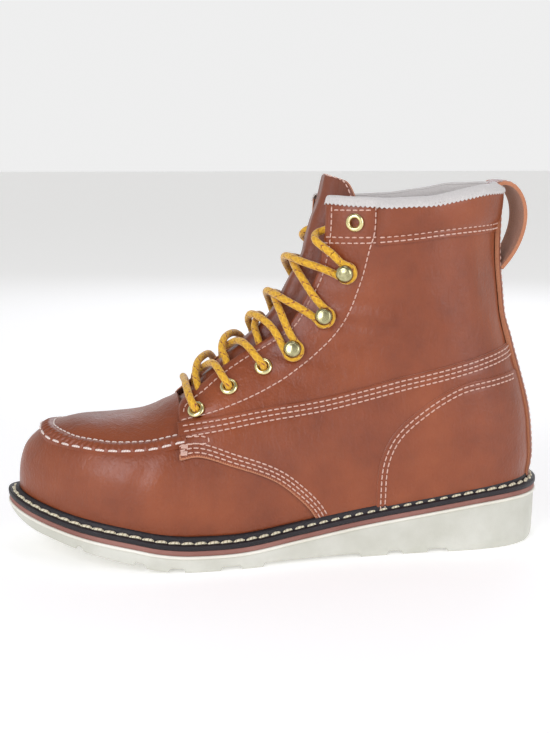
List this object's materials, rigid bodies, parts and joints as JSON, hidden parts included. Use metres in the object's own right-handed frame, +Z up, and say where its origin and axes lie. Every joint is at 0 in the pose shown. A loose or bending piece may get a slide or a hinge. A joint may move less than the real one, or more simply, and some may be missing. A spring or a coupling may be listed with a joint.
{
  "type": "work boot",
  "caption": "Leather work boot with a moc toe, a wedge sole, a padded collar, a pull loop at the heel, and laces through eyelets and ball hooks.",
  "frame": {"origin": "on the floor, midway along the sole", "axes": "+X towards the heel, -X towards the toe, -Y towards the outer side of the foot, +Z up"},
  "size_m": [0.308, 0.1096, 0.2108],
  "materials": {
    "leather": "semi-gloss",
    "leather_dark": "semi-gloss",
    "flesh_side": "matte",
    "outsole_rubber": "matte",
    "midsole_rubber": "matte",
    "welt_leather": "satin",
    "footbed": "matte",
    "lining": "matte",
    "thread": "matte",
    "rope_thread": "matte",
    "eyelet_brass": "polished",
    "hook_brass": "satin",
    "lace": "matte"
  },
  "bodies": {
    "root": {"outsole": "outsole_rubber", "midsole": "midsole_rubber", "welt": "welt_leather", "insole": "footbed", "upper": "leather", "tongue": "leather", "moc_seam": "leather", "collar_band": "leather", "backstay": "leather_dark", "quarter_lateral": "leather", "quarter_medial": "leather", "eyestay_lateral": "leather", "eyestay_medial": "leather", "counter_lateral": "leather", "counter_medial": "leather", "eyelet_lateral_1": "eyelet_brass", "eyelet_lateral_2": "eyelet_brass", "eyelet_lateral_3": "eyelet_brass", "eyelet_lateral_4": "eyelet_brass", "eyelet_medial_1": "eyelet_brass", "eyelet_medial_2": "eyelet_brass", "eyelet_medial_3": "eyelet_brass", "eyelet_medial_4": "eyelet_brass", "hook_lateral_1": "hook_brass", "hook_lateral_2": "hook_brass", "hook_lateral_3": "hook_brass", "hook_medial_1": "hook_brass", "hook_medial_2": "hook_brass", "hook_medial_3": "hook_brass", "lace_crossings": "lace", "lace_end_lateral": "lace", "lace_end_medial": "lace"}
  },
  "joints": []
}
